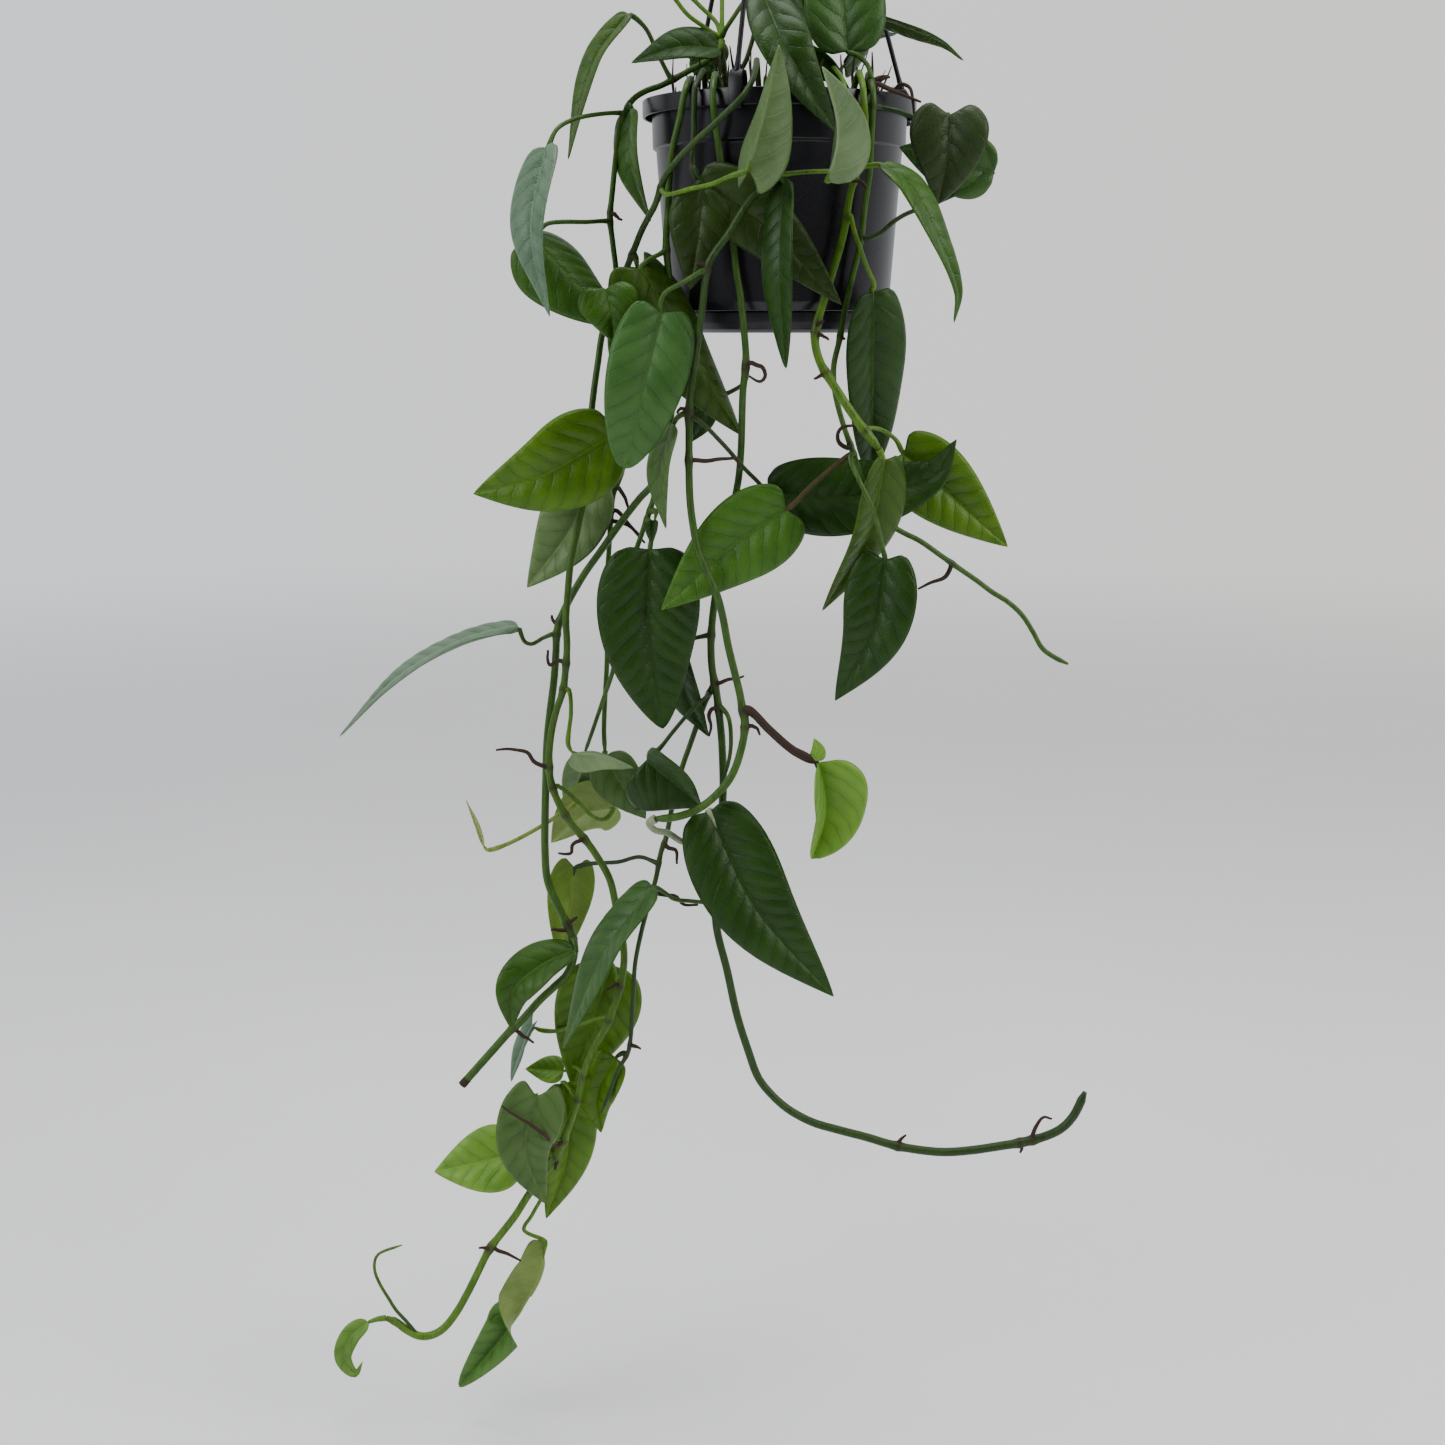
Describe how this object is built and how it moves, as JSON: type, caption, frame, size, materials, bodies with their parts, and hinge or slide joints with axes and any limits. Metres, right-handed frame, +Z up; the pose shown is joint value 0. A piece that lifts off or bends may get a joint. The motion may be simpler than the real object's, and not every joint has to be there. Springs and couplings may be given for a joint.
{
  "type": "potted hanging plant",
  "caption": "Trailing blue-green leafy vines in a round plastic pot with a clip-on saucer, hung from a hook by a plastic strand hanger.",
  "frame": {"origin": "inner top of the hook's loop, where the hanger rests on what carries it", "axes": "+Z up, -Y is the front seen in the picture, +X is to the right in it; the pot's axis is the Z axis"},
  "size_m": [0.3971, 0.1879, 0.9133],
  "materials": {
    "pot_plastic": "semi-gloss charcoal",
    "saucer_plastic": "satin charcoal",
    "potting_mix": "rough, moist dark brown",
    "hanger_plastic": "satin charcoal",
    "foliage": "satin blue-green with a silvery sheen"
  },
  "bodies": {
    "root": {"pot": "pot_plastic", "saucer": "saucer_plastic", "soil": "potting_mix", "hanger_hook": "hanger_plastic", "hanger_strand_front": "hanger_plastic", "hanger_strand_right": "hanger_plastic", "hanger_strand_back": "hanger_plastic", "vine_left_short": "foliage", "vine_left_long": "foliage", "vine_left_slim": "foliage", "vine_front": "foliage", "vine_middle_long": "foliage", "vine_rim_leaves": "foliage", "vine_right_inner": "foliage", "vine_right_outer": "foliage", "shoot_crown_left": "foliage", "shoot_crown_right": "foliage", "shoot_back_left": "foliage", "shoot_back_right": "foliage"}
  },
  "joints": []
}
